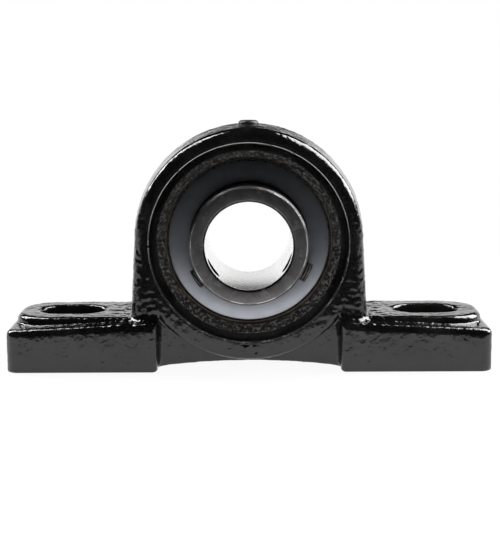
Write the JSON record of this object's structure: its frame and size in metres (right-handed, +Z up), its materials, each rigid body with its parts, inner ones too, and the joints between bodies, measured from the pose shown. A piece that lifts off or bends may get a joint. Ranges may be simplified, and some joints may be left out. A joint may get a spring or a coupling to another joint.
{
  "type": "pillow block bearing",
  "caption": "Cast pillow block with slotted feet that holds a shaft in a self-aligning ball bearing insert, locked by set screws.",
  "frame": {"origin": "centre of the base's underside, midway between the two bolt slots and straight below the shaft axis", "axes": "+X along the base to the right seen from the front, +Y along the shaft axis to the rear, +Z up; the set screws are at the front, towards -Y"},
  "size_m": [0.14, 0.0388, 0.071],
  "materials": {
    "painted_iron": "gloss black paint over a rough casting",
    "ring_steel": "ground bearing steel, oxide dark on the outside",
    "chrome_steel": "polished",
    "cage_steel": "bright pressed sheet",
    "flinger_steel": "satin grey-blue coating",
    "seal_rubber": "matte",
    "screw_steel": "black oxide",
    "plug_plastic": "black"
  },
  "bodies": {
    "block": {"housing": "painted_iron"},
    "insert": {"outer_ring": "ring_steel", "front_seal_plate": "cage_steel", "front_seal_lip": "seal_rubber", "rear_seal_plate": "cage_steel", "rear_seal_lip": "seal_rubber"},
    "shaft_ring": {"inner_ring": "ring_steel", "front_flinger": "flinger_steel", "rear_flinger": "flinger_steel"},
    "cage": {"cage_front": "cage_steel", "cage_rear": "cage_steel", "cage_rivets": "cage_steel"},
    "left_screw": {"set_screw_left": "screw_steel"},
    "right_screw": {"set_screw_right": "screw_steel"},
    "plug": {"grease_plug": "plug_plastic"},
    "ball_1_body": {"ball_1": "chrome_steel"},
    "ball_2_body": {"ball_2": "chrome_steel"},
    "ball_3_body": {"ball_3": "chrome_steel"},
    "ball_4_body": {"ball_4": "chrome_steel"},
    "ball_5_body": {"ball_5": "chrome_steel"},
    "ball_6_body": {"ball_6": "chrome_steel"},
    "ball_7_body": {"ball_7": "chrome_steel"},
    "ball_8_body": {"ball_8": "chrome_steel"},
    "ball_9_body": {"ball_9": "chrome_steel"}
  },
  "joints": [
    {"name": "insert_align", "type": "hinge", "parent": "block", "child": "insert", "pos_m": [0, 0, 0.0365], "axis": [1, 0, 0], "range_deg": [-2, 2]},
    {"name": "ring_spin", "type": "hinge", "parent": "insert", "child": "shaft_ring", "pos_m": [0, 0, 0.0365], "axis": [0, 1, 0], "continuous": true},
    {"name": "cage_spin", "type": "hinge", "parent": "insert", "child": "cage", "pos_m": [0, 0, 0.0365], "axis": [0, 1, 0], "continuous": true},
    {"name": "ball_1_roll", "type": "hinge", "parent": "cage", "child": "ball_1_body", "pos_m": [0, 0, 0.05575], "axis": [0, 1, 0], "continuous": true},
    {"name": "ball_2_roll", "type": "hinge", "parent": "cage", "child": "ball_2_body", "pos_m": [-0.01237, 0, 0.05125], "axis": [0, 1, 0], "continuous": true},
    {"name": "ball_3_roll", "type": "hinge", "parent": "cage", "child": "ball_3_body", "pos_m": [-0.01896, 0, 0.03984], "axis": [0, 1, 0], "continuous": true},
    {"name": "ball_4_roll", "type": "hinge", "parent": "cage", "child": "ball_4_body", "pos_m": [-0.01667, 0, 0.02687], "axis": [0, 1, 0], "continuous": true},
    {"name": "ball_5_roll", "type": "hinge", "parent": "cage", "child": "ball_5_body", "pos_m": [-0.00658, 0, 0.01841], "axis": [0, 1, 0], "continuous": true},
    {"name": "ball_6_roll", "type": "hinge", "parent": "cage", "child": "ball_6_body", "pos_m": [0.00658, 0, 0.01841], "axis": [0, 1, 0], "continuous": true},
    {"name": "ball_7_roll", "type": "hinge", "parent": "cage", "child": "ball_7_body", "pos_m": [0.01667, 0, 0.02687], "axis": [0, 1, 0], "continuous": true},
    {"name": "ball_8_roll", "type": "hinge", "parent": "cage", "child": "ball_8_body", "pos_m": [0.01896, 0, 0.03984], "axis": [0, 1, 0], "continuous": true},
    {"name": "ball_9_roll", "type": "hinge", "parent": "cage", "child": "ball_9_body", "pos_m": [0.01237, 0, 0.05125], "axis": [0, 1, 0], "continuous": true},
    {"name": "left_screw_travel", "type": "slide", "parent": "shaft_ring", "child": "left_screw", "axis": [-0.8339, 0, -0.5519], "range_m": [-0.0004, 0.004]},
    {"name": "right_screw_travel", "type": "slide", "parent": "shaft_ring", "child": "right_screw", "axis": [0.8949, 0, -0.4462], "range_m": [-0.001, 0.004]},
    {"name": "plug_lift", "type": "slide", "parent": "block", "child": "plug", "axis": [0, 0, 1], "range_m": [0, 0.012]}
  ],
  "couplings": [
    {"joint": "cage_spin", "follows": "ring_spin", "ratio": 0.39691},
    {"joint": "ball_1_roll", "follows": "ring_spin", "ratio": -2.3219},
    {"joint": "ball_2_roll", "follows": "ring_spin", "ratio": -2.3219},
    {"joint": "ball_3_roll", "follows": "ring_spin", "ratio": -2.3219},
    {"joint": "ball_4_roll", "follows": "ring_spin", "ratio": -2.3219},
    {"joint": "ball_5_roll", "follows": "ring_spin", "ratio": -2.3219},
    {"joint": "ball_6_roll", "follows": "ring_spin", "ratio": -2.3219},
    {"joint": "ball_7_roll", "follows": "ring_spin", "ratio": -2.3219},
    {"joint": "ball_8_roll", "follows": "ring_spin", "ratio": -2.3219},
    {"joint": "ball_9_roll", "follows": "ring_spin", "ratio": -2.3219}
  ]
}
